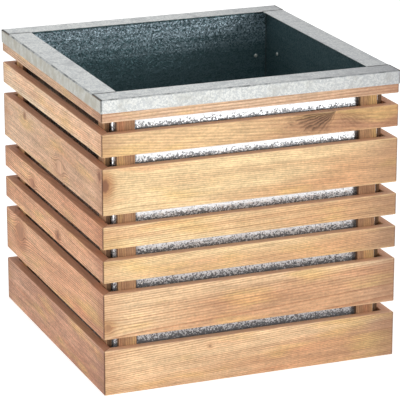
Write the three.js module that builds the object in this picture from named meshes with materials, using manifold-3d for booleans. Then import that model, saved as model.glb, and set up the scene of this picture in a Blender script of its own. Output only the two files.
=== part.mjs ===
// Square planter box of horizontal larch slats with a lift-out liner of galvanised sheet.
// Millimetres, +Z up. The origin is on the ground, under the middle of the box.
// The front faces -Y. Each side is drawn as the front one and turned about Z.

import * as THREE from 'three';
import { mergeVertices } from 'three/addons/utils/BufferGeometryUtils.js';
import Module from 'manifold-3d';

const wasm = await Module();
wasm.setup();

// Slats: two widths of one board, stacked with open gaps and mitred at the corners
const boxSide = 500;
const slatThickness = 15;
const wideSlat = 74;
const narrowSlat = 36;
const slatGap = 18.8;
const slatEdgeRadius = 1.2;
const slatRows = [wideSlat, wideSlat, narrowSlat, narrowSlat, wideSlat, narrowSlat, narrowSlat];

// Battens: two upright laths behind each side's slats
const battenWidth = 30;
const battenThickness = 8;
const battenCornerGap = 6.5;
const battenFootHeight = 12;

// Floor: boards that lie on a ledger at the front and one at the back
const ledgerThickness = 15;
const ledgerHeight = 36;
const ledgerFootHeight = 8;
const floorBoardCount = 4;
const floorBoardThickness = 15;
const floorBoardGap = 26;

// Liner: four folded wall sheets, a floor sheet and four rim strips
const sheet = 0.8;
const foldRadius = 1;
const flapWidth = 40;
const drainClip = 16;
const rimOverhang = 12;
const apronHeight = 22;

// Fits
const mitreGap = 0.8;
const seatGap = 0.3;
const lapGap = 0.3;
const seamGap = 0.8;
const notchGap = 1.3;
const liftClearance = 0.9;

// Roundness of eased edges and folds, in segments a quarter turn
const edgeSegments = 3;
const foldSegments = 4;

// Places that follow from the sizes above
const half = boxSide / 2;
const slatBack = half - slatThickness;
const battenFront = slatBack - seatGap;
const battenBack = battenFront - battenThickness;
const battenOuterEdge = battenBack - battenCornerGap;
const battenInnerEdge = battenOuterEdge - battenWidth;
const stackHeight = slatRows.reduce((sum, row) => sum + row, 0) + slatGap * (slatRows.length - 1);

const ledgerTop = ledgerFootHeight + ledgerHeight;
const floorBottom = ledgerTop + seatGap;
const linerBottom = floorBottom + floorBoardThickness + seatGap;

const linerHalf = battenBack - liftClearance;
const wallOuter = linerHalf - sheet - lapGap;
const wallInner = wallOuter - sheet;
const foldOuter = foldRadius + sheet;

const flangeBottom = stackHeight + seatGap;
const rimTop = flangeBottom + sheet;
const rimOuter = half + seatGap + sheet;
const rimInner = wallInner - rimOverhang;
const rimFold = slatEdgeRadius;

// Points of an arc, from one angle to another in quarter turns
function arc(centreX, centreY, radius, fromQuarter, toQuarter, segments) {
  const points = [];
  for (let step = 0; step <= segments; step += 1) {
    const angle = (fromQuarter + ((toQuarter - fromQuarter) * step) / segments) * (Math.PI / 2);
    points.push([centreX + radius * Math.cos(angle), centreY + radius * Math.sin(angle)]);
  }
  return points;
}

// Outline of a rectangle with eased corners, as the section of a planed board
function boardSection(left, right, bottom, top, radius) {
  return [
    ...arc(right - radius, bottom + radius, radius, 3, 4, edgeSegments),
    ...arc(right - radius, top - radius, radius, 0, 1, edgeSegments),
    ...arc(left + radius, top - radius, radius, 1, 2, edgeSegments),
    ...arc(left + radius, bottom + radius, radius, 2, 3, edgeSegments),
  ];
}

// Solid of an outline drawn in XY and pushed along Z
function pushUp(outline, bottom, top) {
  const shape = new THREE.Shape(outline.map(([x, y]) => new THREE.Vector2(x, y)));
  const geometry = new THREE.ExtrudeGeometry(shape, { depth: 1, bevelEnabled: false });
  geometry.deleteAttribute('normal');
  geometry.deleteAttribute('uv');
  const place = geometry.attributes.position;
  for (let i = 0; i < place.count; i += 1) {
    place.setZ(i, place.getZ(i) > 0.5 ? top : bottom);
  }
  return mergeVertices(geometry);
}

// Solid of a section drawn in YZ and pushed along X. The ends may depend on a point's y.
function pushAcross(section, leftEnd, rightEnd) {
  const geometry = pushUp(section, 0, 1);
  const place = geometry.attributes.position;
  for (let i = 0; i < place.count; i += 1) {
    const y = place.getX(i);
    const z = place.getY(i);
    place.setXYZ(i, place.getZ(i) > 0.5 ? rightEnd(y) : leftEnd(y), y, z);
  }
  return geometry;
}

function rectangle(left, right, bottom, top) {
  return [[left, bottom], [right, bottom], [right, top], [left, top]];
}

function toSolid(geometry) {
  const vertProperties = new Float32Array(geometry.attributes.position.array);
  const triVerts = new Uint32Array(geometry.index.array);
  return new wasm.Manifold(new wasm.Mesh({ numProp: 3, vertProperties, triVerts }));
}

function toGeometry(solid) {
  const mesh = solid.getMesh();
  const geometry = new THREE.BufferGeometry();
  geometry.setAttribute('position', new THREE.BufferAttribute(mesh.vertProperties, 3));
  geometry.setIndex(new THREE.BufferAttribute(mesh.triVerts, 1));
  return geometry;
}

function cut(geometry, tools) {
  return toGeometry(tools.reduce((solid, tool) => solid.subtract(toSolid(tool)), toSolid(geometry)));
}

// Finishes
function larch() {
  return new THREE.MeshStandardMaterial({ color: 0xd6a673, roughness: 0.62, metalness: 0 });
}

function battenWood() {
  return new THREE.MeshStandardMaterial({ color: 0xb07f50, roughness: 0.7, metalness: 0 });
}

function zinc() {
  return new THREE.MeshStandardMaterial({ color: 0xc9cdcd, roughness: 0.42, metalness: 0.8 });
}

function piece(name, geometry, material) {
  geometry.computeVertexNormals();
  const mesh = new THREE.Mesh(geometry, material);
  mesh.name = name;
  return mesh;
}

// A slat runs across the front. Its ends are mitred: each point is drawn in by its depth.
function slat(bottom, height) {
  const section = boardSection(-half, -slatBack, bottom, bottom + height, slatEdgeRadius);
  const reach = (y) => -y - mitreGap / Math.SQRT2;
  return pushAcross(section, (y) => -reach(y), reach);
}

// A batten stands behind the slats, from near the ground to the underside of the rim.
function batten(outward) {
  const edges = [outward * battenInnerEdge, outward * battenOuterEdge].sort((a, b) => a - b);
  const section = boardSection(edges[0], edges[1], -battenFront, -battenBack, slatEdgeRadius);
  return pushUp(section, battenFootHeight, stackHeight);
}

// One side of the box: seven slats on two battens
function side(name, turn) {
  const panel = new THREE.Group();
  let bottom = 0;
  slatRows.forEach((height, row) => {
    panel.add(piece(`${name}_slat_${row + 1}`, slat(bottom, height), larch()));
    bottom += height + slatGap;
  });
  panel.add(piece(`${name}_batten_left`, batten(-1), battenWood()));
  panel.add(piece(`${name}_batten_right`, batten(1), battenWood()));
  panel.rotation.z = turn;
  return panel;
}

// A ledger is fixed to the inside of a bottom slat, between the side's two battens.
function ledger(name, turn) {
  const reach = battenInnerEdge - seatGap;
  const inner = battenFront - ledgerThickness;
  const section = boardSection(-battenFront, -inner, ledgerFootHeight, ledgerTop, slatEdgeRadius);
  const bar = piece(name, pushAcross(section, () => -reach, () => reach), battenWood());
  bar.rotation.z = turn;
  return bar;
}

// Floor boards run from front to back on the two ledgers, with gaps for drainage.
function floorBoards() {
  const boards = new THREE.Group();
  const span = 2 * (battenInnerEdge - seatGap);
  const width = (span - floorBoardGap * (floorBoardCount - 1)) / floorBoardCount;
  const top = floorBottom + floorBoardThickness;
  for (let i = 0; i < floorBoardCount; i += 1) {
    const left = i * (width + floorBoardGap) - span / 2;
    const section = boardSection(left, left + width, floorBottom, top, slatEdgeRadius);
    const board = pushAcross(section, () => -battenFront, () => battenFront);
    board.rotateZ(Math.PI / 2);
    boards.add(piece(`floor_board_${i + 1}`, board, battenWood()));
  }
  return boards;
}

// A wall sheet of the liner. Its right end is folded back as a flap that laps the outside of the
// next wall, where it is riveted.
function linerWall(name, turn) {
  const start = -wallOuter + foldOuter;
  const flapEnd = -wallOuter + flapWidth;
  const foldX = linerHalf - foldOuter;
  const plan = [
    [start, -wallOuter],
    ...arc(foldX, start, foldOuter, 3, 4, foldSegments),
    [linerHalf, flapEnd],
    [linerHalf - sheet, flapEnd],
    ...arc(foldX, start, foldRadius, 4, 3, foldSegments),
    [start, -wallInner],
  ];
  const wall = piece(name, pushUp(plan, linerBottom, flangeBottom - lapGap), zinc());
  wall.rotation.z = turn;
  return wall;
}

// The floor sheet is soldered in between the walls. Its corners are clipped, so water drains there.
function linerFloor() {
  const edge = wallInner - lapGap;
  const clipped = edge - drainClip;
  const outline = [
    [clipped, -edge], [edge, -clipped], [edge, clipped], [clipped, edge],
    [-clipped, edge], [-edge, clipped], [-edge, -clipped], [-clipped, -edge],
  ];
  return piece('liner_floor', pushUp(outline, linerBottom, linerBottom + sheet), zinc());
}

// Section of a rim strip: a flange on top, folded down outside into an apron over the top slat
function rimSection() {
  const outerRadius = rimFold + sheet;
  const foldY = -rimOuter + outerRadius;
  const foldZ = rimTop - outerRadius;
  const apronBottom = rimTop - apronHeight;
  return [
    [-rimOuter + sheet, apronBottom],
    ...arc(foldY, foldZ, rimFold, 2, 1, foldSegments),
    [-rimInner, rimTop - sheet],
    [-rimInner, rimTop],
    ...arc(foldY, foldZ, outerRadius, 1, 2, foldSegments),
    [-rimOuter, apronBottom],
  ];
}

// The front and back strips run the full width of the box.
function longRimStrip(name, turn) {
  const strip = piece(name, pushAcross(rimSection(), () => -rimOuter, () => rimOuter), zinc());
  strip.rotation.z = turn;
  return strip;
}

// The left and right strips butt between them. Their flange is notched back at both ends, and
// their apron goes on under the long strips to the corners.
function notchedRimStrip(name, turn) {
  const apronReach = rimOuter - sheet - seamGap;
  const flangeReach = rimInner - seamGap;
  const whole = pushAcross(rimSection(), () => -apronReach, () => apronReach);
  const notch = rectangle(-rimOuter - sheet, -rimInner + sheet, flangeBottom - notchGap, rimTop + sheet);
  const left = pushAcross(notch, () => -rimOuter, () => -flangeReach);
  const right = pushAcross(notch, () => flangeReach, () => rimOuter);
  const strip = piece(name, cut(whole, [left, right]), zinc());
  strip.rotation.z = turn;
  return strip;
}

const quarter = Math.PI / 2;
const sides = [['front', 0], ['right', quarter], ['back', 2 * quarter], ['left', 3 * quarter]];

const frame = new THREE.Group();
sides.forEach(([name, turn]) => frame.add(side(name, turn)));
frame.add(ledger('front_ledger', 0), ledger('back_ledger', 2 * quarter), floorBoards());

const liner = new THREE.Group();
sides.forEach(([name, turn]) => liner.add(linerWall(`liner_wall_${name}`, turn)));
liner.add(linerFloor());
liner.add(longRimStrip('rim_front', 0), notchedRimStrip('rim_right', quarter));
liner.add(longRimStrip('rim_back', 2 * quarter), notchedRimStrip('rim_left', 3 * quarter));

const planterBox = new THREE.Group();
planterBox.add(frame, liner);

export default planterBox;
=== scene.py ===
# %% [markdown]
# # A larch planter box with a zinc liner
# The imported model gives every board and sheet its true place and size. This lesson keeps those solids
# and gives them their finish: planed larch with rings, fibres and knots, and zinc sheet with its crystals.
# Only the screws, the rivets and the solder are new shapes, because they are too many and too small to
# draw one by one.

# %% Load the solids
import math
import random

import bpy
from mathutils import Euler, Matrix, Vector


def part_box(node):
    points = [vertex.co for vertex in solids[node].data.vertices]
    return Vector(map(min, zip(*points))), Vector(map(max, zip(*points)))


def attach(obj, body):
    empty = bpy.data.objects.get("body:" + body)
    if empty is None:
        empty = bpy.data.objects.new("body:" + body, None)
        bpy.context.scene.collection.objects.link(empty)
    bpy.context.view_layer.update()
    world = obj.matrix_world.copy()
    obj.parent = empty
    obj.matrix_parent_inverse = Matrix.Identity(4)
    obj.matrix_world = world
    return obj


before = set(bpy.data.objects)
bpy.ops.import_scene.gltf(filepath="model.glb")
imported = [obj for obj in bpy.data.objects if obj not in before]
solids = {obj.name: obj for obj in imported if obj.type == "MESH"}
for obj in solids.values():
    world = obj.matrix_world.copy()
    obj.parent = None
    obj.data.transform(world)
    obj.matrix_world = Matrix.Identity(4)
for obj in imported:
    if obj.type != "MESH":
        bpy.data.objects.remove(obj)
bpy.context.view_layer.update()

# %% [markdown]
# ## The camera
# A catalogue photographer stands a few metres off and uses a long lens, so the box hardly narrows
# towards the back. The camera could be placed by eye. Here a turn, a tilt and a distance say where it
# stands, so each of them can be changed on its own.

# %% Place the camera
image_height = 414
sensor_height = 36.0
lens_in_pixels = 2466.0
view_turn = math.radians(21.7)
view_tilt = math.radians(17.4)
view_distance = 4.118
view_target = Vector((0.0102, 0.0, 0.2078))

sight = Vector((
    math.sin(view_turn) * math.cos(view_tilt),
    math.cos(view_turn) * math.cos(view_tilt),
    -math.sin(view_tilt),
))
camera_lens = bpy.data.cameras.new("catalogue_camera")
camera_lens.sensor_width = sensor_height
camera_lens.lens = lens_in_pixels * sensor_height / image_height
camera = bpy.data.objects.new("catalogue_camera", camera_lens)
camera.location = view_target - sight * view_distance
camera.rotation_euler = sight.to_track_quat("-Z", "Y").to_euler()
scene = bpy.context.scene
scene.collection.objects.link(camera)
scene.camera = camera
print("camera at", [round(c, 3) for c in camera.location], "lens", round(camera_lens.lens, 1), "mm")

# %% [markdown]
# ## Helpers for node trees
# Every finish below is a tree of nodes. Setting each node and each link by hand makes long lines that
# all look alike, so small helpers do it: they place a node and feed its sockets, do sums, map ranges, blend
# colours, and build and use node groups. A socket knows its tree, so most of them needn't be told which tree
# to work in.

# %% Helpers for node trees
def feed(value, socket):
    """Links a socket to a socket, or sets a plain value on it."""
    if isinstance(value, bpy.types.NodeSocket):
        socket.id_data.links.new(value, socket)
    else:
        socket.default_value = value


def place(tree, kind, inputs=None, **settings):
    """A new node of that kind, with its settings, and with its inputs fed by name or by number."""
    made = tree.nodes.new(kind)
    for name, value in settings.items():
        setattr(made, name, value)
    for key, value in (inputs or {}).items():
        feed(value, made.inputs[key])
    return made


def tree_of(values):
    """The tree of the first socket among some values."""
    return next(value.id_data for value in values if isinstance(value, bpy.types.NodeSocket))


def calc(operation, *values):
    """The result of a Math node."""
    return place(tree_of(values), "ShaderNodeMath", dict(enumerate(values)), operation=operation).outputs[0]


def times(first, second):
    """The product of two values."""
    return calc("MULTIPLY", first, second)


def vary(value, low, high, low_result=0.0, high_result=1.0, smooth=True):
    """Maps a value from one range to another, with clamped ends."""
    values = dict(enumerate((value, low, high, low_result, high_result)))
    way = "SMOOTHSTEP" if smooth else "LINEAR"
    return place(value.id_data, "ShaderNodeMapRange", values, interpolation_type=way).outputs[0]


def blend(amount, first, second, way="MIX"):
    """The colour between two colours."""
    values = {0: amount, 6: first, 7: second}
    tree = tree_of(values.values())
    return place(tree, "ShaderNodeMix", values, data_type="RGBA", blend_type=way).outputs[2]


def stained(colour, mask, strength, stain, way="MIX"):
    """A colour under a stain that lies where a mask is, with a strength from nought to one."""
    return blend(times(mask, strength), colour, stain, way)


def vector_of(tree, x, y, z):
    """Three values as one vector."""
    return place(tree, "ShaderNodeCombineXYZ", {0: x, 1: y, 2: z}).outputs[0]


def axes_of(spot):
    """The X, the Y and the Z of a point."""
    return tuple(place(spot.id_data, "ShaderNodeSeparateXYZ", {0: spot}).outputs)


def new_group(name, inputs, outputs, kind="ShaderNodeTree"):
    """An empty node group with its sockets; gives the tree, its inputs and its outputs."""
    tree = bpy.data.node_groups.new(name, kind)
    for way, sockets in (("INPUT", inputs), ("OUTPUT", outputs)):
        for label, type_name in sockets.items():
            tree.interface.new_socket(label, in_out=way, socket_type="NodeSocket" + type_name)
    return tree, place(tree, "NodeGroupInput").outputs, place(tree, "NodeGroupOutput").inputs


def use_group(tree, group, **values):
    """The outputs of a group in a tree, with its inputs set by name; an underscore stands for a space."""
    inputs = {label.replace("_", " "): value for label, value in values.items()}
    return place(tree, "ShaderNodeGroup", inputs, node_tree=group).outputs


def tint(red, green, blue):
    """A colour as a paint chart gives it, from 0 to 255, turned into Blender's linear light."""
    linear = []
    for level in (red, green, blue):
        share = level / 255.0
        linear.append(share / 12.92 if share <= 0.04045 else ((share + 0.055) / 1.055) ** 2.4)
    return (*linear, 1.0)


# %% [markdown]
# ## Floor and light
# The box stands in a bright white room with three soft lamps. A low one before the front, on the left,
# makes the front the brightest side, and the light falls off towards the right. One on the right looks over
# the rim and lights the top of the liner's back wall, and a weak one fills the left side. A picture of a sky
# could light it too, but lamps are simpler to set one by one. The world and the floor show as plain white to
# the camera and in the zinc, and the floor keeps the shadow.

# %% Build the floor and the light
scene.view_settings.view_transform = "Standard"
white = (1.0, 1.0, 1.0, 1.0)
floor_grey = (0.9, 0.9, 0.9, 1.0)
room_strength = 0.68
floor_strength = 0.56
floor_half = 6.0


def seen_directly(tree):
    """One for rays from the camera or from a mirror or glass, and nought for light that bounces about."""
    ray = place(tree, "ShaderNodeLightPath").outputs
    seen = calc("MAXIMUM", ray["Is Camera Ray"], ray["Is Glossy Ray"])
    return calc("MAXIMUM", seen, ray["Is Transmission Ray"])


room = bpy.data.worlds.new("white_room")
scene.world = room
room.use_nodes = True
tree = room.node_tree
tree.nodes.clear()
strength = vary(seen_directly(tree), 0.0, 1.0, room_strength, 1.0, smooth=False)
sky = place(tree, "ShaderNodeBackground", {"Color": white, "Strength": strength})
place(tree, "ShaderNodeOutputWorld", {"Surface": sky.outputs[0]})

floor_mesh = bpy.data.meshes.new("studio_floor")
floor_corners = [(-1, -1), (1, -1), (1, 1), (-1, 1)]
floor_mesh.from_pydata([(x * floor_half, y * floor_half, 0.0) for x, y in floor_corners], [], [(0, 1, 2, 3)])
floor = bpy.data.objects.new("studio_floor", floor_mesh)
scene.collection.objects.link(floor)
floor_paint = bpy.data.materials.new("floor_paint")
floor_paint.use_nodes = True
tree = floor_paint.node_tree
floor_shader = tree.nodes["Principled BSDF"]
floor_shader.inputs["Base Color"].default_value = floor_grey
floor_shader.inputs["Roughness"].default_value = 0.9
floor_shader.inputs["Emission Color"].default_value = white
strength = times(seen_directly(tree), floor_strength)
feed(strength, floor_shader.inputs["Emission Strength"])
floor_mesh.materials.append(floor_paint)


def soft_lamp(name, spot, aim, size, watts):
    """A rectangle of light that looks from a spot at an aim, and that the camera doesn't see."""
    light = bpy.data.lights.new(name, "AREA")
    light.shape = "RECTANGLE"
    light.size, light.size_y = size
    light.energy = watts
    lamp = bpy.data.objects.new(name, light)
    lamp.location = spot
    lamp.rotation_euler = (Vector(aim) - Vector(spot)).to_track_quat("-Z", "Y").to_euler()
    lamp.visible_camera = False
    scene.collection.objects.link(lamp)
    return lamp


lamps = [
    soft_lamp("low_front_lamp", (-0.85, -1.10, 0.24), (-0.25, -0.25, 0.24), (0.9, 0.40), 3.85),
    soft_lamp("over_rim_lamp", (1.20, -2.10, 0.85), (0.0, 0.2, 0.42), (0.9, 0.4), 10.0),
    soft_lamp("left_lamp", (-2.4, 0.3, 0.5), (-0.25, 0.0, 0.25), (1.5, 0.8), 3.0),
]
print("floor and lamps:", floor.name, [lamp.name for lamp in lamps])

# %% [markdown]
# ## Larch grain
# A board is a slice of a tree, so its lines are year rings cut by a flat face. A picture of wood would
# only cover one face, but a solid pattern also gives the right lines on edges and ends. The group below
# measures how far a point is from the tree's pith, makes a sharp dark edge at the end of each year, and
# adds fine fibres and broad bands of colour that run along the board. The drift and the lean make the bands
# warmer along the board and towards its foot, and the planer's knife leaves a faint ripple.

# %% Build the larch grain group
grain_inputs = {
    "Board": "Vector", "Pith": "Vector", "Slope": "Float", "Ring Width": "Float", "Wander": "Float",
    "Seed": "Float", "Contrast": "Float", "Fleck": "Float", "Drift": "Float", "Lean": "Float",
    "Pale": "Color", "Warm": "Color", "Late": "Color",
}
grain_outputs = {"Color": "Color", "Rough": "Float", "Height": "Float"}
larch_grain, given, made = new_group("larch_grain", grain_inputs, grain_outputs)
tree = larch_grain
board = given["Board"]
board_seed = given["Seed"]
resin_gold = tint(244, 206, 130)
heart_red = tint(222, 148, 106)
planer_pitch = 0.0064
planer_shade = 0.012


def stretched_noise(spot, scale, seed, detail, rough=0.5):
    """A noise whose grain is stretched by a scale along each axis."""
    turned = place(spot.id_data, "ShaderNodeMapping", {"Vector": spot, "Scale": scale}).outputs[0]
    values = {"Vector": turned, "W": seed, "Scale": 1.0, "Detail": detail, "Roughness": rough}
    return place(spot.id_data, "ShaderNodeTexNoise", values, noise_dimensions="4D").outputs["Fac"]


def board_noise(along, across, detail, rough=0.5):
    """A noise with other scales along the board and across it."""
    return stretched_noise(board, (along, across, across), board_seed, detail, rough)


x, y, z = axes_of(board)
pith = axes_of(given["Pith"])
rise = calc("MULTIPLY_ADD", x, given["Slope"], pith[2])
deep = calc("SUBTRACT", y, pith[1])
high = calc("SUBTRACT", z, rise)
radius = calc("SQRT", calc("MULTIPLY_ADD", high, high, times(deep, deep)))
bend = times(calc("SUBTRACT", board_noise(3.0, 16.0, 2.0), 0.5), given["Wander"])
years = calc("DIVIDE", calc("ADD", radius, bend), given["Ring Width"])
year_shape = place(tree, "ShaderNodeValToRGB", {0: calc("FRACT", years)})
ramp = year_shape.color_ramp
for spot, level in ((0.0, 0.0), (0.35, 0.08), (0.72, 0.62), (0.9, 1.0), (1.0, 0.0)):
    stop = ramp.elements[0] if spot == 0.0 else ramp.elements[-1] if spot == 1.0 else ramp.elements.new(spot)
    stop.position = spot
    stop.color = (level, level, level, 1.0)
year_key = vector_of(tree, calc("FLOOR", years), board_seed, 0.0)
year_random = place(tree, "ShaderNodeTexWhiteNoise", {"Vector": year_key}, noise_dimensions="2D")
year_strength = vary(year_random.outputs["Value"], 0.0, 1.0, 0.4, 1.0, smooth=False)
late = times(times(year_shape.outputs[0], year_strength), given["Contrast"])

band = calc("MULTIPLY_ADD", x, given["Drift"], board_noise(2.2, 20.0, 3.0, 0.55))
band = calc("SUBTRACT", band, times(z, given["Lean"]))
wood = blend(vary(band, 0.34, 0.66), given["Pale"], given["Warm"])
wood = blend(vary(board_noise(8.0, 34.0, 2.0), 0.48, 0.70, 0.0, 0.6), wood, resin_gold)
wood = blend(vary(board_noise(4.0, 52.0, 2.0), 0.52, 0.74, 0.0, 0.45), wood, heart_red)
wood = blend(late, wood, given["Late"])
fibre = board_noise(14.0, 480.0, 3.0, 0.65)
streak = vary(fibre, 0.3, 0.7, 0.82, 1.16, smooth=False)
fine_tones = {
    "fleck": (board_noise(130.0, 320.0, 2.0, 0.7), 1.15, 0.85),
    "line": (board_noise(4.0, 300.0, 2.0, 0.6), 1.04, 0.92),
    "mottle": (board_noise(18.0, 80.0, 3.0, 0.6), 0.86, 1.14),
    "pore": (board_noise(300.0, 520.0, 2.0, 0.7), 0.90, 1.10),
}
for grains, low_tone, high_tone in fine_tones.values():
    streak = times(streak, vary(grains, 0.3, 0.7, low_tone, high_tone, smooth=False))
streak = calc("MULTIPLY_ADD", calc("ADD", streak, -1.0), given["Fleck"], 1.0)
ripple = calc("SINE", times(x, 2 * math.pi / planer_pitch))
streak = times(streak, calc("MULTIPLY_ADD", ripple, planer_shade, 1.0))
streak_grey = place(tree, "ShaderNodeCombineColor", {0: streak, 1: streak, 2: streak})
feed(blend(1.0, wood, streak_grey.outputs[0], "MULTIPLY"), made["Color"])
feed(vary(fibre, 0.3, 0.7, 0.72, 0.56, smooth=False), made["Rough"])
feed(calc("MULTIPLY_ADD", late, 0.6, times(fibre, 0.5)), made["Height"])
print("larch grain:", len(larch_grain.nodes), "nodes")

# %% [markdown]
# ## Knots
# A knot is a branch that the trunk grew round. The rings flow past it as water flows past a post, so the
# group uses that same rule to push the board's lines up and down around a centre. It also gives a mask
# for the dark heart of the branch, and one for the halo round it.

# %% Build the knot group
knot_inputs = {"Board": "Vector", "Along": "Float", "Up": "Float", "Radius": "Float", "Stretch": "Float"}
knot_outputs = {"Board": "Vector", "Heart": "Float", "Halo": "Float"}
grain_knot, given, made = new_group("grain_knot", knot_inputs, knot_outputs)
tree = grain_knot
x, y, z = axes_of(given["Board"])
aside = calc("DIVIDE", calc("SUBTRACT", x, given["Along"]), given["Stretch"])
above = calc("SUBTRACT", z, given["Up"])
square = calc("MULTIPLY_ADD", aside, aside, times(above, above))
reach = times(given["Radius"], given["Radius"])
push = calc("DIVIDE", reach, calc("MULTIPLY_ADD", reach, 0.3, square))
push = calc("MINIMUM", push, 1.0)
shifted = calc("SUBTRACT", z, times(above, push))
feed(vector_of(tree, x, y, shifted), made["Board"])
wobble = stretched_noise(given["Board"], (150.0, 150.0, 150.0), 3.0, 2.0)
share = calc("DIVIDE", calc("SQRT", square), given["Radius"])
share = calc("ADD", share, calc("MULTIPLY_ADD", wobble, 0.5, -0.25))
feed(vary(share, 0.55, 1.0, 1.0, 0.0), made["Heart"])
feed(vary(share, 0.8, 2.6, 1.0, 0.0), made["Halo"])
print("knot:", len(grain_knot.nodes), "nodes")

# %% [markdown]
# ## Flame figure
# Where a branch leaves the trunk at a flat angle, the saw cuts the wild grain into a fan of dark lines that
# spread from one point. A fan is easiest to draw with angles: the direction from that point to a spot gives
# the stripes, and its distance fades them out. One side of the fan is darker than the other.

# %% Build the flame group
flame_squash = 2.2
flame_stripes = 36.0
flame_inputs = {"Board": "Vector", "Along": "Float", "Up": "Float", "Reach": "Float"}
flame_figure, given, made = new_group("flame_figure", flame_inputs, {"Lines": "Float", "Shade": "Float"})
x, y, z = axes_of(given["Board"])
aside = calc("SUBTRACT", x, given["Along"])
below = calc("SUBTRACT", given["Up"], z)
wild = stretched_noise(given["Board"], (60.0, 90.0, 90.0), 7.0, 3.0, 0.6)
wild = calc("SUBTRACT", wild, 0.5)
deep = times(below, flame_squash)
bent = calc("MULTIPLY_ADD", wild, 0.40, calc("ARCTAN2", deep, aside))
stripes = calc("SINE", times(bent, flame_stripes))
square = calc("MULTIPLY_ADD", deep, deep, times(aside, aside))
share = calc("DIVIDE", calc("SQRT", square), given["Reach"])
share = calc("MULTIPLY_ADD", wild, 0.8, share)
left_fan = times(vary(bent, 1.6, 2.2), vary(bent, 3.0, 3.35, 1.0, 0.4))
right_fan = times(vary(bent, 0.2, 0.5, 0.1, 0.3), vary(bent, 1.0, 1.5, 1.0, 0.2))
fan = calc("MAXIMUM", left_fan, right_fan)
fan = times(fan, vary(share, 0.45, 1.1, 1.0, 0.0))
feed(times(fan, vary(stripes, -0.6, 0.7)), made["Lines"])
feed(fan, made["Shade"])
print("flame figure:", len(flame_figure.nodes), "nodes")

# %% [markdown]
# ## Sawn edges and tired ends
# Only the broad faces of a slat are planed. Its long edges are left as the saw made them, and they are
# painted darker, partly for the rough wood and partly as painted shade, since a slat's top edge lies in
# the shadow of the slat above and a batten's sides lie in shade. The corners between the two are painted
# pale, partly as rubbed wood and partly as a painted highlight on the eased edge, and the ends have drunk
# oil and gone a little browner. Towards the box's right end a board turns greyer and darker, and at the
# mitre a dark line of painted shade stands for the shade in the joint. One group finds these places on any
# board from its half height and half length.

# %% Build the wear group
wear_inputs = {
    "Board": "Vector", "Half Height": "Float", "Half Length": "Float", "Joint Width": "Float",
    "Seed": "Float",
}
wear_outputs = {"Sawn": "Float", "Rubbed Highlight": "Float", "End": "Float", "Right End": "Float", "Joint": "Float"}
board_wear, given, made = new_group("board_wear", wear_inputs, wear_outputs)
x, y, z = axes_of(given["Board"])
patchy = stretched_noise(given["Board"], (30.0, 200.0, 200.0), given["Seed"], 3.0, 0.6)
to_edge = calc("SUBTRACT", given["Half Height"], calc("ABSOLUTE", z))
# Painted shade, in part: the long edges take a darker colour that also stands for the shade they lie in.
sawn_and_shaded = vary(to_edge, 0.0002, 0.0005, 1.0, 0.0)
feed(times(sawn_and_shaded, vary(patchy, 0.3, 0.7, 1.0, 0.75)), made["Sawn"])
# The eased corners are painted pale: partly rubbed wood, partly a painted highlight.
near_edge = vary(to_edge, 0.0010, 0.0026, 1.0, 0.0)
near_edge = times(near_edge, vary(to_edge, 0.0002, 0.0006))
feed(times(near_edge, vary(patchy, 0.35, 0.65)), made["Rubbed Highlight"])
to_end = calc("SUBTRACT", given["Half Length"], calc("ABSOLUTE", x))
soaked = calc("ADD", to_end, calc("MULTIPLY_ADD", patchy, 0.03, -0.015))
feed(vary(soaked, 0.004, 0.045, 1.0, 0.0), made["End"])
to_right = calc("SUBTRACT", given["Half Length"], x)
feed(vary(to_right, 0.005, 0.100, 1.0, 0.0), made["Right End"])
# Painted shade: a dark line at the mitre stands for the shade in the joint.
joint = vary(calc("DIVIDE", to_end, given["Joint Width"]), 0.25, 1.0, 1.0, 0.0)
feed(times(joint, vary(patchy, 0.3, 0.7, 1.0, 0.5)), made["Joint"])
print("wear:", len(board_wear.nodes), "nodes")

# %% [markdown]
# ## How each slat looks
# Every slat is cut from another board, so no two may look alike. One finish for all of them would be less
# work, but it would look printed. So each slat has a tone of larch, and values for its grain, from the ground
# up. The knots and the flames stand where the real boards show them, and on the unseen sides they are
# guesses.

# %% Write down how each slat looks
# A tone has the colours of its pale wood, of its warm bands and of its late rings.
larch_tones = {
    "straw": (tint(250, 221, 170), tint(224, 176, 130), tint(184, 132, 90)),
    "honey": (tint(246, 212, 168), tint(216, 169, 129), tint(182, 128, 90)),
    "orange": (tint(239, 202, 152), tint(195, 145, 109), tint(160, 108, 74)),
    "rose": (tint(250, 198, 156), tint(224, 163, 124), tint(168, 106, 72)),
    "tan": (tint(250, 214, 179), tint(221, 177, 142), tint(176, 124, 92)),
    "dun": (tint(234, 199, 165), tint(204, 161, 129), tint(164, 113, 82)),
    "clear": (tint(255, 230, 196), tint(250, 206, 168), tint(206, 150, 110)),
    "brown": (tint(232, 184, 152), tint(206, 152, 122), tint(158, 104, 76)),
    "batten": (tint(180, 141, 104), tint(162, 121, 88), tint(130, 92, 64)),
}
slat_tones = {
    "front": ("honey", "honey", "straw", "straw", "straw", "orange", "dun"),
    "left": ("brown", "rose", "rose", "rose", "tan", "clear", "dun"),
    "back": ("honey", "straw", "honey", "rose", "straw", "honey", "orange"),
    "right": ("rose", "honey", "straw", "honey", "honey", "rose", "orange"),
}
slat_leans = {
    "front": (2.5, 5.0, 4.5, -3.5, 1.2, -3.0, 0.0),
    "left": (1.5, 1.0, -2.0, -5.0, 0.0, -4.0, -3.0),
    "back": (2.0, 3.0, -3.0, 2.0, 1.5, -2.0, 0.0),
    "right": (1.0, -2.0, 3.0, 2.0, 2.0, -3.0, 0.0),
}
slat_rings = {
    "front": (1.1, 1.0, 1.1, 1.2, 0.7, 0.7, 1.0),
    "left": (1.2, 1.3, 1.3, 1.5, 1.2, 1.0, 1.3),
    "back": (1.0, 1.2, 1.0, 0.9, 1.1, 1.0, 1.0),
    "right": (1.2, 1.0, 1.1, 1.2, 0.9, 1.1, 1.0),
}
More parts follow.
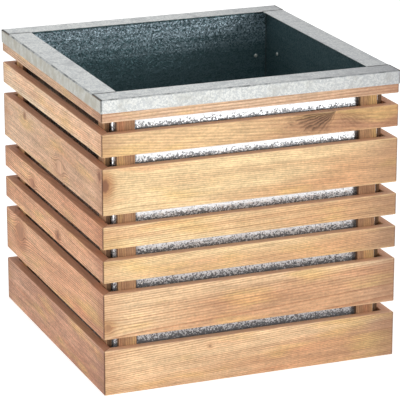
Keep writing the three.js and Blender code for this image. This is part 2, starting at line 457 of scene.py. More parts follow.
# How much each slat turns greyer and darker towards the box's right end.
right_ends = {
    "front": (0.75, 0.65, 0.95, 0.75, 0.5, 0.1, 0.15),
    "left": (0.5, 0.5, 0.4, 0.0, 0.1, 0.1, 0.0),
    "back": (0.3, 0.2, 0.5, 0.1, 0.3, 0.2, 0.4),
    "right": (0.2, 0.4, 0.2, 0.3, 0.1, 0.4, 0.2),
}
side_turns = {"front": 0.0, "right": math.pi / 2, "back": math.pi, "left": -math.pi / 2}
# On the front the drift is partly painted shade: darker bands to the right add to the light's fall-off.
side_drifts = {"front": 0.85, "right": -0.3, "back": 0.35, "left": 0.5}
side_flecks = {"front": 1.0, "right": 1.2, "back": 1.1, "left": 1.3}
# How wide the line of painted shade at each side's mitres is.
side_joints = {"front": 0.0026, "right": 0.0030, "back": 0.0030, "left": 0.0055}
# A knot has its place along and up the board, its radius, its stretch, and how dark its heart and halo are.
slat_knots = {
    "front_slat_5": ((-0.246, 0.011, 0.013, 0.7, 1.0, 0.8),),
    "front_slat_2": ((-0.244, -0.017, 0.007, 1.0, 0.5, 0.5),),
    "front_slat_1": ((-0.072, 0.022, 0.0028, 1.2, 0.45, 0.4),),
    "left_slat_5": (
        (0.238, 0.024, 0.008, 0.8, 0.6, 0.6), (-0.135, 0.026, 0.005, 1.0, 0.4, 0.6),
        (0.045, -0.014, 0.012, 1.6, 0.0, 0.3)),
    "left_slat_4": ((-0.100, -0.008, 0.009, 1.5, 0.1, 0.4),),
    "left_slat_3": ((0.030, -0.006, 0.007, 1.2, 0.55, 0.6),),
    "left_slat_2": ((-0.176, 0.012, 0.016, 1.3, 0.25, 0.6),),
    "back_slat_5": ((0.090, -0.012, 0.010, 1.4, 0.8, 0.5),),
    "back_slat_2": ((-0.150, 0.016, 0.008, 1.3, 0.8, 0.5),),
    "right_slat_5": ((-0.060, 0.018, 0.009, 1.3, 0.8, 0.5),),
    "right_slat_1": ((0.120, -0.010, 0.010, 1.4, 0.8, 0.5),),
}
# A flame has the place of its point along and up the board, and how far it reaches.
slat_flames = {
    "front_slat_6": (0.142, 0.0182, 0.092),
    "back_slat_4": (-0.080, 0.017, 0.065),
    "right_slat_6": (0.110, 0.017, 0.065),
}
print("tones of larch:", len(larch_tones), "slats with knots:", len(slat_knots), "flames:", len(slat_flames))

# %% [markdown]
# ## The slats
# Each slat gets a material of its own that uses the same groups with other values: where the pith lies, how
# wide the years are, and which tone of larch it is. One material with a switch for every slat would work
# too, but it would be hard to read. A Mapping node first turns the outer face of every side to the front, so
# one rule fits all four sides.

# %% Give every slat its own board
knot_heart = tint(98, 55, 42)
knot_halo = tint(190, 150, 124)
flame_brown = tint(72, 46, 26)
joint_shade_brown = tint(96, 64, 48)
right_end_grey = tint(208, 213, 227)
# Edge colours, partly rough wood, partly painted shade: lit copy, shaded copy, and a dark one for battens.
sawn_lit_copy = tint(228, 184, 152)
sawn_shaded_copy = tint(198, 145, 114)
sawn_batten_shade = tint(84, 58, 38)
grain_depth = 0.0004
box_half = 0.25
draw = random.Random(11)


def new_finish(name):
    """A material with its tree, its Principled shader and its Object coordinates."""
    finish = bpy.data.materials.new(name)
    finish.use_nodes = True
    tree = finish.node_tree
    shader = tree.nodes["Principled BSDF"]
    return finish, tree, shader, place(tree, "ShaderNodeTexCoord").outputs["Object"]


def paint(shader, colour, rough, metallic=0.0):
    """Feeds the shader its colour, its roughness and how metallic it is."""
    for label, value in (("Base Color", colour), ("Roughness", rough), ("Metallic", metallic)):
        feed(value, shader.inputs[label])


def bump_in(shader, height, depth, strength):
    """Feeds a height to the shader's normal through a Bump node; the depth is in metres."""
    values = {"Strength": strength, "Distance": depth, "Height": height}
    bump = place(shader.id_data, "ShaderNodeBump", values)
    feed(bump.outputs[0], shader.inputs["Normal"])


def larch_board(name, turn, middle, halves, tone, knots=(), flame=None, upright=False, drift=0.0,
                lean=0.0, rings=1.0, fleck=1.0, right_greying=0.0, joint=0.003, sawn_and_shaded=sawn_lit_copy):
    """Larch for one board: turn brings its outer face to the front, middle and halves are its place and size.
    The drift and the lean say how fast it gets warmer along its length and towards its foot, rings and fleck
    how strong these are, right_greying how much greyer and darker it turns towards the box's right end, and
    joint how wide the dark line of painted shade at its ends is."""
    finish, tree, shader, spot = new_finish(name)
    move = (-middle[0], -middle[1], -middle[2])
    facing = {"Vector": spot, "Rotation": (0.0, 0.0, -turn), "Location": move}
    board = place(tree, "ShaderNodeMapping", facing).outputs[0]
    if upright:
        lay = {"Vector": board, "Rotation": (0.0, math.pi / 2, 0.0)}
        board = place(tree, "ShaderNodeMapping", lay).outputs[0]
    wear = use_group(
        tree, board_wear, Board=board, Half_Height=halves[1], Half_Length=halves[0], Joint_Width=joint,
        Seed=draw.uniform(0.0, 90.0))
    hearts = []
    for along, up, size, stretch, heart, halo in knots:
        parts = use_group(tree, grain_knot, Board=board, Along=along, Up=up, Radius=size, Stretch=stretch)
        board = parts["Board"]
        hearts.append((parts, heart, halo))
    pale, warm, late = larch_tones[tone]
    pith = (0.0, draw.uniform(0.04, 0.09), draw.choice((-1, 1)) * draw.uniform(0.05, 0.16))
    grain = use_group(
        tree, larch_grain, Board=board, Pith=pith, Slope=draw.uniform(-0.09, 0.09),
        Ring_Width=draw.uniform(0.0024, 0.0034), Wander=draw.uniform(0.004, 0.009),
        Seed=draw.uniform(0.0, 90.0), Contrast=draw.uniform(0.85, 1.15) * rings, Fleck=fleck, Drift=drift,
        Lean=lean, Pale=pale, Warm=warm, Late=late,
    )
    wood = grain["Color"]
    if flame:
        fan = use_group(tree, flame_figure, Board=board, Along=flame[0], Up=flame[1], Reach=flame[2])
        wood = stained(wood, fan["Shade"], 0.55, flame_brown)
        wood = stained(wood, fan["Lines"], 0.8, flame_brown)
    for parts, heart, halo in hearts:
        wood = stained(wood, parts["Halo"], halo, knot_halo, "MULTIPLY")
        wood = stained(wood, parts["Heart"], heart, knot_heart)
    wood = stained(wood, wear["End"], 0.35, late)
    # Greyer and darker towards the box's right end.
    wood = stained(wood, wear["Right End"], right_greying, right_end_grey, "MULTIPLY")
    # Painted shade: a dark line at the mitre for the shade in the joint.
    wood = stained(wood, wear["Joint"], 0.75, joint_shade_brown)
    # Painted highlight, in part: the eased corners are paler.
    wood = stained(wood, wear["Rubbed Highlight"], 0.5, pale)
    # Painted shade, in part: the long edges take their darker colour.
    wood = stained(wood, wear["Sawn"], 0.85, sawn_and_shaded)
    paint(shader, wood, grain["Rough"])
    bump_in(shader, grain["Height"], grain_depth, 0.5)
    return finish


def dress(node, finish):
    """Puts a finish on every material slot of a solid."""
    for slot in solids[node].material_slots:
        slot.material = finish


for side, turn in side_turns.items():
    for row, tone in enumerate(slat_tones[side], start=1):
        slat = f"{side}_slat_{row}"
        low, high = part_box(slat)
        middle = (0.0, -box_half, (low.z + high.z) / 2)
        halves = (box_half, (high.z - low.z) / 2)
        # The left and back take the shaded copy of the edge colour, as painted shade.
        dress(slat, larch_board(
            "larch_" + slat, turn, middle, halves, tone, slat_knots.get(slat, ()), slat_flames.get(slat),
            drift=side_drifts[side], lean=slat_leans[side][row - 1],
            rings=slat_rings[side][row - 1], fleck=side_flecks[side],
            right_greying=right_ends[side][row - 1], joint=side_joints[side],
            sawn_and_shaded=sawn_shaded_copy if side in ("left", "back") else sawn_lit_copy))
print("slats:", sum("_slat_" in name for name in solids))

# %% [markdown]
# ## Battens, ledgers and floor boards
# The hidden frame is cut from the same larch, but from plainer and browner boards. It could have one plain
# brown paint, but the battens show in the gaps. They stand upright, so their grain runs up and down.

# %% Dress the hidden frame
for side, turn in side_turns.items():
    for hand in ("left", "right"):
        batten = f"{side}_batten_{hand}"
        low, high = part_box(batten)
        across = (low + high) / 2
        across.rotate(Euler((0.0, 0.0, -turn)))
        halves = ((high.z - low.z) / 2, max(high.x - low.x, high.y - low.y) / 2)
        # A batten's sides are painted dark, as painted shade where they show in the gaps.
        dress(batten, larch_board(
            "larch_" + batten, turn, across, halves, "batten", upright=True, sawn_and_shaded=sawn_batten_shade))
for ledger, turn in (("front_ledger", 0.0), ("back_ledger", math.pi)):
    low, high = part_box(ledger)
    middle = (0.0, low.y if turn == 0.0 else -high.y, (low.z + high.z) / 2)
    halves = (high.x, (high.z - low.z) / 2)
    dress(ledger, larch_board("larch_" + ledger, turn, middle, halves, "batten"))
for number in range(1, 5):
    name = f"floor_board_{number}"
    low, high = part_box(name)
    middle = (0.0, -(low.x + high.x) / 2, (low.z + high.z) / 2)
    halves = (high.y, (high.z - low.z) / 2)
    dress(name, larch_board("larch_" + name, math.pi / 2, middle, halves, "batten"))
print("frame boards dressed")

# %% [markdown]
# ## Zinc crystals
# Hot-dipped sheet freezes into flat crystals, called spangle. Each one mirrors another part of the room,
# so the sheet looks like grey frost. Cells of a Voronoi pattern stand for the crystals. Every cell gets a
# random grey and a random tilt, and the tilt goes to the bump, which turns the mirror of each crystal.

# %% Build the spangle group
spangle_inputs = {"Spot": "Vector", "Crystal": "Float", "Seed": "Float"}
spangle_outputs = {"Tone": "Float", "Facet": "Float", "Frost": "Float", "Cloud": "Float"}
zinc_spangle, given, made = new_group("zinc_spangle", spangle_inputs, spangle_outputs)
tree = zinc_spangle
half_grey = (0.5, 0.5, 0.5)


def vector_calc(operation, *values):
    """The outputs of a Vector Math node: a vector and a plain value."""
    numbered = dict(enumerate(values))
    return place(tree_of(values), "ShaderNodeVectorMath", numbered, operation=operation).outputs


density = calc("DIVIDE", 1.0, given["Crystal"])
pattern = {"Vector": given["Spot"], "W": given["Seed"], "Scale": density}
ragged = place(tree, "ShaderNodeTexNoise", {**pattern, "Detail": 2.0}, noise_dimensions="4D")
shift = vector_calc("SUBTRACT", ragged.outputs["Color"], half_grey)[0]
warped = vector_calc("MULTIPLY_ADD", shift, given["Crystal"], given["Spot"])[0]
pattern["Vector"] = warped
cells = place(tree, "ShaderNodeTexVoronoi", pattern, voronoi_dimensions="4D", feature="F1").outputs
grey = place(tree, "ShaderNodeSeparateColor", {0: cells["Color"]})
feed(grey.outputs[0], made["Tone"])
away = vector_calc("SUBTRACT", warped, cells["Position"])[0]
lean = vector_calc("SUBTRACT", cells["Color"], half_grey)[0]
tilt = vector_calc("DOT_PRODUCT", away, lean)["Value"]
feed(times(tilt, density), made["Facet"])
frost = stretched_noise(given["Spot"], (620.0, 620.0, 620.0), given["Seed"], 3.0, 0.65)
feed(frost, made["Frost"])
cloud = stretched_noise(given["Spot"], (38.0, 38.0, 38.0), given["Seed"], 3.0, 0.6)
feed(cloud, made["Cloud"])
print("spangle:", len(zinc_spangle.nodes), "nodes")

# %% [markdown]
# ## The zinc rim
# The rim is clean, pale and matt. Its strips are folded from flat sheet, and along the folds, the corners
# and the seams a thin grey line of painted shade stands for the shade there. Along the cut end of a strip,
# where the next strip passes beneath it, a near-black line of painted shadow stands for the dark gap. The
# lines could be cut into the solids, but paint is enough for them. Masks by place find them: a point that is
# both near the top and near the outer edge lies on the fold, and one near two outer edges on a corner.

# %% Dress the rim
zinc_pale = tint(234, 236, 233)
zinc_cool = tint(194, 199, 202)
zinc_sallow = tint(176, 173, 160)
zinc_tarnish_and_shade = tint(120, 120, 126)
# Painted shade for the folds, corners and seams, and painted shadow for the gap at a strip's cut end.
zinc_fold_shade = tint(104, 108, 108)
zinc_gap_shadow = tint(46, 48, 48)
rim_crystal = 0.0024
fold_width = 0.0016
fold_shade_width = 0.0008
rim_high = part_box("rim_front")[1]
fold_reach = rim_high.x - fold_width
fold_level = rim_high.z - fold_width
seam_reach = -rim_high.y


def place_on_box(spot):
    """How far a point is from the middle of the box along X and along Y, and its height."""
    x, y, z = axes_of(spot)
    return calc("ABSOLUTE", x), calc("ABSOLUTE", y), z


def frosted(crystals, share):
    """A share of the crystals' own greys, filled up with fine frost."""
    return calc("MULTIPLY_ADD", crystals["Tone"], share, times(crystals["Frost"], 1.0 - share))


def rim_finish(name, seed, sallow, right_shade):
    """Matt zinc for a strip of the rim, with painted shade along its fold. Sallow says how stained its apron
    is, and right_shade how much it darkens towards the box's right end, a painted reflection of the darker
    surroundings there."""
    finish, tree, shader, spot = new_finish(name)
    crystals = use_group(tree, zinc_spangle, Spot=spot, Crystal=rim_crystal, Seed=seed)
    cloud = crystals["Cloud"]
    mottle = vary(frosted(crystals, 0.4), 0.34, 0.64, 0.0, 0.85)
    colour = blend(mottle, zinc_pale, zinc_cool)
    colour = blend(vary(cloud, 0.5, 0.8, 0.0, 0.6), colour, zinc_cool)
    across, along, level = place_on_box(spot)
    top = vary(level, fold_level - 0.0006, fold_level + 0.0002)
    stain = vary(cloud, 0.45, 0.75, sallow, sallow + 0.35)
    runs = stretched_noise(spot, (60.0, 60.0, 36.0), seed, 4.0, 0.7)
    stain = times(stain, vary(runs, 0.35, 0.65, 0.65, 1.25))
    stain = times(stain, calc("SUBTRACT", 1.0, top))
    colour = blend(stain, colour, zinc_sallow)
    colour = stained(colour, vary(cloud, 0.46, 0.70, 0.0, 0.26), top, zinc_tarnish_and_shade)
    # Painted reflection: the strip darkens towards the box's right end, for the darker surroundings it
    # mirrors.
    right_shade_mask = vary(axes_of(spot)[0], -0.10, 0.26, smooth=False)
    right_shade_mask = times(times(right_shade_mask, right_shade_mask), right_shade)
    colour = stained(colour, right_shade_mask, vary(top, 0.0, 1.0, 0.6, 1.0, smooth=False), zinc_tarnish_and_shade)
    farther = calc("MAXIMUM", across, along)
    nearer = calc("MINIMUM", across, along)
    # Painted shade along the fold and at the corners.
    fold = times(vary(farther, fold_reach - fold_shade_width, fold_reach),
                 vary(level, fold_level - fold_shade_width, fold_level))
    corner = vary(nearer, fold_reach - fold_shade_width, fold_reach)
    fold_shade_strength = vary(cloud, 0.40, 0.58, 0.95, 0.3)
    colour = stained(colour, calc("MAXIMUM", fold, corner), fold_shade_strength, zinc_fold_shade)
    # Painted shade along the seams, and painted shadow along a strip's cut end.
    to_seam = calc("ABSOLUTE", calc("SUBTRACT", along, seam_reach))
    seam_shade = times(vary(to_seam, 0.0014, 0.0040, 0.75, 0.0),
                 calc("GREATER_THAN", across, seam_reach))
    cut_end_shadow = times(vary(across, fold_reach - 0.0012, fold_reach - 0.0004, 0.0, 0.95),
                    calc("GREATER_THAN", along, seam_reach - 0.0014))
    colour = stained(colour, calc("MAXIMUM", seam_shade, cut_end_shadow), top, zinc_gap_shadow)
    paint(shader, colour, vary(crystals["Frost"], 0.3, 0.7, 0.42, 0.6), 0.3)
    bump_in(shader, crystals["Facet"], 0.0003, 0.4)
    return finish


# Each strip's apron stain, and how much painted shade darkens it towards the right end.
rim_stains_and_shades = {"front": (0.15, 0.78), "right": (0.25, 0.36), "back": (0.25, 0.5), "left": (0.8, 0.0)}
for number, (side, (sallow, right_shade)) in enumerate(rim_stains_and_shades.items()):
    dress("rim_" + side, rim_finish("zinc_rim_" + side, 3.0 + number, sallow, right_shade))
print("rim strips:", sum(name.startswith("rim") for name in solids))

# %% [markdown]
# ## The zinc liner
# The liner's outside is white, with a soft grey band of painted shade behind each slat, and painted shade
# makes it duller towards the ground. Around the top edge of each slat, dark specks of painted shade stand
# for the shade of that slat, and a line of painted shadow runs beside each batten. High up, where the sheet
# is still polished, dust stands as a thin wedge that leans the face up, so it mirrors the white room. The
# inside has gone blue-green from soil and water, and painted shade darkens it below a height that differs
# from wall to wall and in a thin line under the flange. Two sheets could have two materials, but one sheet
# has both sides. So the place of a point tells the looks apart: its height says which slat is before it,
# and its distance from the middle says inside or outside.

# %% Find the marks of the slats on the liner
# How far above a slat's top edge the specks of painted shade reach.
gap_foot_height = 0.0100
dust_start = 0.004
slat_levels = [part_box(f"front_slat_{row}") for row in range(1, 8)]


def marks_of_slats(level):
    """Three masks: the painted shade behind each slat, the foot of each gap around and above its top edge,
    where specks of painted shade go and which fades out upward, and the wedge of dust between the two."""
    hidden, foot_of_gap, wedge = 0.0, 0.0, 0.0
    for foot, top in slat_levels:
        dust = top.z - dust_start
        gap_foot_top = top.z + gap_foot_height
        begin = vary(level, foot.z - 0.006, foot.z + 0.005)
        end = vary(level, dust - 0.012, dust, 1.0, 0.0)
        rising = vary(level, dust - 0.008, dust)
        falling = vary(level, dust + 0.0005, gap_foot_top, 1.0, 0.0, smooth=False)
        step = vary(level, dust - 0.0005, dust)
        slope = vary(level, dust, gap_foot_top, 1.0, 0.0, smooth=False)
        hidden = calc("MAXIMUM", hidden, times(begin, end))
        foot_of_gap = calc("MAXIMUM", foot_of_gap, times(rising, falling))
        wedge = calc("MAXIMUM", wedge, times(step, slope))
    return hidden, foot_of_gap, wedge


print("slats that mark the liner:", len(slat_levels))

# %% Dress the liner
zinc_bright = tint(253, 254, 255)
zinc_shade_and_mottle = tint(206, 210, 213)
zinc_speck = tint(168, 172, 176)
zinc_low_shade = tint(236, 238, 241)
zinc_speck_shade = tint(108, 110, 114)
zinc_batten_shadow = tint(116, 114, 114)
zinc_dark = tint(220, 240, 252)
zinc_deep = tint(84, 108, 114)
zinc_inner_shade = tint(80, 110, 114)
liner_crystal = 0.0020
facet_depth = 0.0007
# The wedge's height is counted in depths of a facet.
wedge_depths = 3.7
sheet_thickness = 0.0008
# Painted shade inside: each wall is darkened below its height, so only the top of the back wall looks lit.
inner_shade_heights = {"front": 0.49, "right": 0.56, "back": 0.474, "left": 0.49}
inner_shade_fade = 0.065
under_flange = 0.4748
wall_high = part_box("liner_wall_right")[1]
wall_middle = wall_high.x - sheet_thickness / 2
batten_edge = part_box("front_batten_right")[0].x


def liner_finish(name, seed, inner_shade_height):
    """Zinc that is white outside, with painted shade by the slats, the battens and the ground, and blue-green
    inside, darkened by painted shade below a height.
    """
    finish, tree, shader, spot = new_finish(name)
    crystals = use_group(tree, zinc_spangle, Spot=spot, Crystal=liner_crystal, Seed=seed)
    shade = frosted(crystals, 0.5)
    across, along, level = place_on_box(spot)
    outside = calc("GREATER_THAN", calc("MAXIMUM", across, along), wall_middle)
    hidden, foot_of_gap, wedge = marks_of_slats(level)
    hidden = calc("MAXIMUM", hidden, vary(crystals["Cloud"], 0.5, 0.8, 0.0, 0.4))
    low_down = vary(level, 0.12, 0.44, 1.0, 0.0, smooth=False)
    # Painted shade: the outside turns duller towards the ground, with more dark specks there.
    low_shade = vary(level, 0.10, 0.33, 0.9, 0.0, smooth=False)
    wedge = times(wedge, vary(low_down, 0.1, 0.95, 1.0, 0.0))
    wedge = times(wedge, outside)
    polish = times(foot_of_gap, vary(low_down, 0.0, 0.45, 0.2, 1.0))
    polish = calc("MULTIPLY_ADD", low_down, 0.25, polish)
    polish = vary(polish, 0.5, 0.85, 1.0, 0.0)
    polish = times(polish, vary(low_down, 0.1, 1.0, 1.0, 0.1))

    # Painted shade: a soft grey band behind each slat, with cloudy mottle.
    bright = blend(hidden, zinc_bright, zinc_shade_and_mottle)
    speck = calc("MULTIPLY_ADD", low_down, 0.3, vary(hidden, 0.0, 1.0, 0.0, 0.7))
    bright = stained(bright, speck, vary(shade, 0.48, 0.72), zinc_speck)
    bright = blend(low_shade, bright, zinc_low_shade, "MULTIPLY")
    # Painted shade: dark specks at the foot of each gap, just above the slat's top edge.
    foot_of_gap = times(foot_of_gap, vary(low_down, 0.1, 0.5, 0.62, 0.38, smooth=False))
    speck_shade = calc("MULTIPLY_ADD", low_shade, 0.20, calc("ADD", foot_of_gap, shade))
    bright = blend(vary(speck_shade, 0.72, 0.88, 0.0, 0.9), bright, zinc_speck_shade)
    # Painted shadow on the sheet along the inner edge of each batten.
    nearer = calc("MINIMUM", across, along)
    batten_shadow = times(vary(nearer, batten_edge - 0.007, batten_edge - 0.003),
                   vary(nearer, batten_edge, batten_edge + 0.008, 1.0, 0.0))
    bright = stained(bright, batten_shadow, 0.7, zinc_batten_shadow)

    tide = stretched_noise(spot, (5.0, 5.0, 130.0), seed, 3.0, 0.6)
    dull = calc("MULTIPLY_ADD", shade, 0.6, times(tide, 0.4))
    dark = blend(vary(dull, 0.36, 0.64), zinc_deep, zinc_dark)
    # Painted shade: darker below a height per wall, and a thin line of painted shadow under the flange.
    inner_shade = calc("MULTIPLY_ADD", tide, 0.04, calc("ADD", level, -0.02))
    inner_shade = vary(inner_shade, inner_shade_height - inner_shade_fade, inner_shade_height, 0.86, 0.0, smooth=False)
    inner_shade = calc("MAXIMUM", inner_shade, vary(level, under_flange - 0.003, under_flange, 0.0, 0.9))
    dark = blend(inner_shade, dark, zinc_inner_shade)

    weathered = times(vary(hidden, 0.0, 1.0, 1.0, 0.3), vary(polish, 0.0, 1.0, 1.0, 0.2))
    weathered = times(outside, weathered)
    rough = vary(outside, 0.0, 1.0, 0.42, 0.20, smooth=False)
    metallic = vary(weathered, 0.0, 1.0, 0.85, 0.2, smooth=False)
    paint(shader, blend(outside, dark, bright), rough, metallic)
    flat = times(outside, vary(polish, 0.0, 1.0, 0.1, 0.7))
    facet = times(crystals["Facet"], calc("SUBTRACT", 1.0, flat))
    bump_in(shader, calc("MULTIPLY_ADD", wedge, wedge_depths, facet), facet_depth, 0.9)
    return finish


for number, (side, inner_shade_height) in enumerate(inner_shade_heights.items()):
    dress("liner_wall_" + side, liner_finish("zinc_wall_" + side, 11.0 + number, inner_shade_height))
dress("liner_floor", liner_finish("zinc_floor", 17.0, inner_shade_heights["back"]))
print("liner sheets:", sum(name.startswith("liner") for name in solids))

# %% [markdown]
# ## A tree that sets fasteners
# Screws and rivets are one small shape set many times, square to the face that they go into. Copies could
# be placed one by one in Python, but a Geometry Nodes tree keeps the sizes as named inputs and does the
# placing itself. It gets a mesh of bare points, and each point has a facing. The tree turns one head to
# each facing, gives it a random spin about its own axis, and makes one plain mesh of them all.

# %% Helpers for fastener trees
def fastener_tree(name, sizes):
    """An empty Geometry Nodes tree with points in, a mesh out and a named input for each size."""
    inputs = {"Places": "Geometry"}
    for label in sizes:
        inputs[label] = "Float"
    inputs.update(Seed="Int", Finish="Material")
    tree, given, made = new_group(name, inputs, {"Fasteners": "Geometry"}, "GeometryNodeTree")
    tree.is_modifier = True
    return tree, given, made


def moved(shape, move=0.0, scale=(1.0, 1.0, 1.0)):
    """A shape after a Transform node; the move is along its own axis."""
    tree = shape.id_data
    values = {"Geometry": shape, "Translation": vector_of(tree, 0.0, 0.0, move), "Scale": scale}
    return place(tree, "GeometryNodeTransform", values).outputs[0]


def close_tree(given, made, shape):
    """Makes one plain mesh of a shape and its copies, and gives it its finish."""
    tree = shape.id_data
    whole = place(tree, "GeometryNodeRealizeInstances", {0: shape})
    coat = place(tree, "GeometryNodeSetMaterial", {"Geometry": whole.outputs[0], "Material": given["Finish"]})
    feed(coat.outputs[0], made["Fasteners"])


def set_on_places(given, made, head):
    """Sets a head on every point, turned to its facing and spun at random, and makes one mesh."""
    tree = head.id_data
    facing = place(tree, "GeometryNodeInputNamedAttribute", {"Name": "facing"}, data_type="FLOAT_VECTOR")
    way = {"Vector": facing.outputs["Attribute"]}
    turned = place(tree, "FunctionNodeAlignRotationToVector", way, axis="Z")
    angle = place(tree, "FunctionNodeRandomValue", {"Seed": given["Seed"]}, data_type="FLOAT")
    full_turn = [socket for socket in angle.inputs if socket.name == "Max" and socket.type == "VALUE"][0]
    full_turn.default_value = 2 * math.pi
    random_angle = [socket for socket in angle.outputs if socket.type == "VALUE"][0]
    spin = place(tree, "FunctionNodeEulerToRotation", {0: vector_of(tree, 0.0, 0.0, random_angle)})
    turns = {0: turned.outputs[0], 1: spin.outputs[0]}
    spun = place(tree, "FunctionNodeRotateRotation", turns, rotation_space="LOCAL")
    copies = place(tree, "GeometryNodeInstanceOnPoints", {
        "Points": given["Places"], "Instance": head, "Rotation": spun.outputs[0]})
    close_tree(given, made, copies.outputs[0])


def run_tree(name, tree, places, values, body, lines=()):
    """Runs a tree on places with facings, and keeps the result as one plain mesh that rides on a body.
    Lines are pairs of places that belong together."""
    points = bpy.data.meshes.new(name + "_places")
    points.from_pydata([spot for spot, facing in places], lines, [])
    facings = points.attributes.new("facing", "FLOAT_VECTOR", "POINT")
    for entry, (spot, facing) in zip(facings.data, places):
        entry.vector = facing
    holder = bpy.data.objects.new(name + "_places", points)
    scene.collection.objects.link(holder)
    builder = holder.modifiers.new(name, "NODES")
    builder.node_group = tree
    for socket in tree.interface.items_tree:
        if socket.in_out == "INPUT" and socket.name in values:
            builder[socket.identifier] = values[socket.name]
    grown = holder.evaluated_get(bpy.context.evaluated_depsgraph_get())
    shape = bpy.data.meshes.new_from_object(grown)
    shape.name = name
    while shape.materials[0] is None:
        shape.materials.pop(index=0)
    bpy.data.objects.remove(holder)
    piece = bpy.data.objects.new(name, shape)
    scene.collection.objects.link(piece)
    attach(piece, body)
    finishes = [finish.name for finish in shape.materials]
    print(name, "from", len(places), "places:", len(shape.polygons), "faces,", finishes)


def on_side(turn, spot, facing):
    """A place and a facing, given on the front side and turned to another side."""
    way = Euler((0.0, 0.0, turn))
    turned_spot = Vector(spot)
    turned_facing = Vector(facing)
    turned_spot.rotate(way)
    turned_facing.rotate(way)
    return turned_spot, turned_facing


# %% [markdown]
# ## Screws
# The slats are screwed on from inside, through the battens, so that no screw shows outside: two into a wide
# slat and one into a narrow one. The floor boards are screwed to the ledgers, and the ledgers to the bottom
# slats. The heads are countersunk with a cross recess, and stand hardly proud, because the liner slides
# past them. Here a cone is the head, and two crossed bars are cut out of it.

# %% Build the screw
screw_sizes = {"Radius": 0.0038, "Depth": 0.0024, "Proud": 0.00012, "Slot": 0.0011}
screw_tree, given, made = fastener_tree("countersunk_screws", screw_sizes)
tree = screw_tree
cone = place(tree, "GeometryNodeMeshCone", {
    "Vertices": 16, "Radius Top": given["Radius"], "Radius Bottom": times(given["Radius"], 0.5),
    "Depth": given["Depth"]}, fill_type="NGON")
sunk = calc("SUBTRACT", given["Proud"], given["Depth"])
blank = {"Mesh 1": moved(cone.outputs["Mesh"], sunk)}
cut = place(tree, "GeometryNodeMeshBoolean", blank, operation="DIFFERENCE", solver="EXACT")
recess = times(given["Radius"], 1.15)
for size in ((recess, given["Slot"]), (given["Slot"], recess)):
    bar = place(tree, "GeometryNodeMeshCube", {"Size": vector_of(tree, *size, given["Depth"])})
    feed(moved(bar.outputs["Mesh"], given["Proud"]), cut.inputs["Mesh 2"])
set_on_places(given, made, cut.outputs["Mesh"])
print("screw:", len(screw_tree.nodes), "nodes")

# %% Set the screws
wide_slat = 0.05
screw_spread = 0.018
ledger_spots = (-0.15, -0.05, 0.05, 0.15)
board_shares = (0.25, 0.75)
inward = (0.0, 1.0, 0.0)
upward = (0.0, 0.0, 1.0)
screw_places = []
for side, turn in side_turns.items():
    for hand in ("left", "right"):
        low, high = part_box(f"front_batten_{hand}")
        across = (low.x + high.x) / 2
        for row in range(1, 8):
            foot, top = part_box(f"front_slat_{row}")
            middle = (foot.z + top.z) / 2
            wide = top.z - foot.z > wide_slat
            for height in ((middle - screw_spread, middle + screw_spread) if wide else (middle,)):
                screw_places.append(on_side(turn, (across, high.y, height), inward))
for ledger, facing in (("front_ledger", 1.0), ("back_ledger", -1.0)):
    low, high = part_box(ledger)
    inner = high.y if facing > 0 else low.y
    for across in ledger_spots:
        screw_places.append(((across, inner, (low.z + high.z) / 2), (0.0, facing, 0.0)))
    for number in range(1, 5):
        board_low, board_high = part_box(f"floor_board_{number}")
        for share in board_shares:
            across = board_low.x + share * (board_high.x - board_low.x)
            screw_places.append(((across, (low.y + high.y) / 2, board_high.z), upward))


def metal_finish(name, pale, grey, metallic, rough, seed):
    """Bare metal with a mottled coat for small fasteners and solder."""
    finish, tree, shader, spot = new_finish(name)
    crystals = use_group(tree, zinc_spangle, Spot=spot, Crystal=0.0012, Seed=seed)
    coat = blend(frosted(crystals, 0.4), pale, grey)
    paint(shader, coat, vary(crystals["Frost"], 0.3, 0.7, rough - 0.1, rough + 0.1), metallic)
    bump_in(shader, crystals["Frost"], 0.0002, 0.3)
    return finish


screw_steel = metal_finish("screw_steel", tint(214, 206, 178), tint(150, 142, 118), 0.9, 0.35, 23.0)
screw_values = dict(screw_sizes, Seed=5, Finish=screw_steel)
run_tree("batten_screws", screw_tree, screw_places, screw_values, "frame")

# %% [markdown]
# ## Rivets
# Each wall of the liner is folded round the corner and riveted to the next wall. A rivet shows a low dome
# inside and a flat tail outside. The three could be loose shapes that touch, but its dome, shank and tail are
# joined into one closed body. Beside the corner, one more rivet in each wall is smaller in grip, because it
# goes through a single sheet.

# %% Build the rivet
rivet_sizes = {"Radius": 0.0032, "Rise": 0.0015, "Grip": 0.0019, "Tail": 0.0004}
rivet_tree, given, made = fastener_tree("domed_rivets", rivet_sizes)
tree = rivet_tree
ball = place(tree, "GeometryNodeMeshUVSphere", {"Segments": 14, "Rings": 8, "Radius": 1.0})
dome = vector_of(tree, given["Radius"], given["Radius"], given["Rise"])
length = calc("ADD", given["Grip"], given["Tail"])
shank = place(tree, "GeometryNodeMeshCylinder", {
    "Vertices": 10, "Radius": times(given["Radius"], 0.5), "Depth": length}, fill_type="NGON")
tail = place(tree, "GeometryNodeMeshCylinder", {
    "Vertices": 12, "Radius": times(given["Radius"], 0.8), "Depth": times(given["Tail"], 2.0)},
    fill_type="NGON")
joined = place(tree, "GeometryNodeMeshBoolean", operation="UNION", solver="EXACT")
for shape in (
    moved(ball.outputs["Mesh"], scale=dome),
    moved(shank.outputs["Mesh"], times(length, -0.5)),
    moved(tail.outputs["Mesh"], times(given["Grip"], -1.0)),
):
    feed(shape, joined.inputs["Mesh 2"])
set_on_places(given, made, joined.outputs["Mesh"])
print("rivet:", len(rivet_tree.nodes), "nodes")

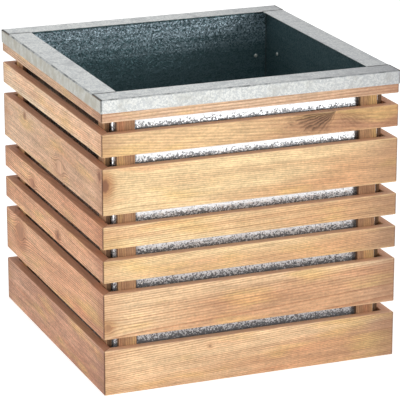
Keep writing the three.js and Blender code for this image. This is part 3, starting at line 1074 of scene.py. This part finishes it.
# %% Set the rivets
wall_face = wall_high.x - sheet_thickness
lap_middle = 0.020
lap_heights = (0.1385, 0.2685, 0.3985)
second_rivet = 0.050
second_height = 0.411
lap_places = []
wall_places = []
for side, turn in side_turns.items():
    for height in lap_heights:
        lap_places.append(on_side(turn, (lap_middle - wall_high.x, -wall_face, height), inward))
    wall_places.append(on_side(turn, (wall_high.x - second_rivet, -wall_face, second_height), inward))

rivet_metal = metal_finish("rivet_metal", tint(244, 242, 234), tint(196, 196, 190), 0.5, 0.35, 29.0)
rivet_values = dict(rivet_sizes, Seed=9, Finish=rivet_metal)
run_tree("lap_rivets", rivet_tree, lap_places, rivet_values, "liner")
wall_values = dict(rivet_values, Grip=sheet_thickness)
run_tree("wall_rivets", rivet_tree, wall_places, wall_values, "liner")

# %% [markdown]
# ## Solder
# The corners of the liner and the edges of its floor sheet are sealed with solder. It runs into the corner
# and freezes as a thin, uneven bead. A tube along each line stands for it: the tree cuts the line into short
# steps, lets a noise swell and shrink the tube from step to step, and closes its ends. A tube of even
# thickness would be simpler, but it would look like a wire.

# %% Build the bead
bead_sizes = {"Radius": 0.0011, "Step": 0.006, "Swell": 0.5}
bead_tree, given, made = fastener_tree("solder_beads", bead_sizes)
tree = bead_tree
runs = place(tree, "GeometryNodeMeshToCurve", {"Mesh": given["Places"]})
cuts = {"Curve": runs.outputs[0], "Length": given["Step"]}
steps = place(tree, "GeometryNodeResampleCurve", cuts, mode="LENGTH")
point = place(tree, "GeometryNodeInputPosition").outputs[0]
pattern = {"Vector": point, "W": given["Seed"], "Scale": 90.0}
uneven = place(tree, "ShaderNodeTexNoise", pattern, noise_dimensions="4D")
swell = times(calc("SUBTRACT", uneven.outputs["Fac"], 0.5), given["Swell"])
outline = {"Resolution": 7, "Radius": given["Radius"]}
ring = place(tree, "GeometryNodeCurvePrimitiveCircle", outline, mode="RADIUS")
tube = place(tree, "GeometryNodeCurveToMesh", {
    "Curve": steps.outputs[0], "Scale": calc("MULTIPLY_ADD", swell, 2.0, 1.0),
    "Profile Curve": ring.outputs[0], "Fill Caps": True})
close_tree(given, made, tube.outputs[0])
print("bead:", len(bead_tree.nodes), "nodes")

# %% Run the solder beads
sheet_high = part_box("liner_floor")[1]
corner_place = wall_face - 0.0006
bead_end = sheet_high.x - 0.018
corner_foot = sheet_high.z + 0.001
corner_top = wall_high.z - 0.0025
floor_level = sheet_high.z + 0.0003
bead_places = []
for side, turn in side_turns.items():
    for spot in (
        (corner_place, -corner_place, corner_foot),
        (corner_place, -corner_place, corner_top),
        (-bead_end, -corner_place, floor_level),
        (bead_end, -corner_place, floor_level),
    ):
        bead_places.append(on_side(turn, spot, inward))
bead_lines = [(first, first + 1) for first in range(0, len(bead_places), 2)]
# The solder's dark grey is partly its own colour and partly painted shade for the dark liner corners.
solder_shade_dark = metal_finish("solder_shade_dark", tint(112, 124, 126), tint(64, 78, 80), 0.7, 0.45, 31.0)
bead_values = dict(bead_sizes, Seed=4, Finish=solder_shade_dark)
run_tree("liner_solder", bead_tree, bead_places, bead_values, "liner", bead_lines)
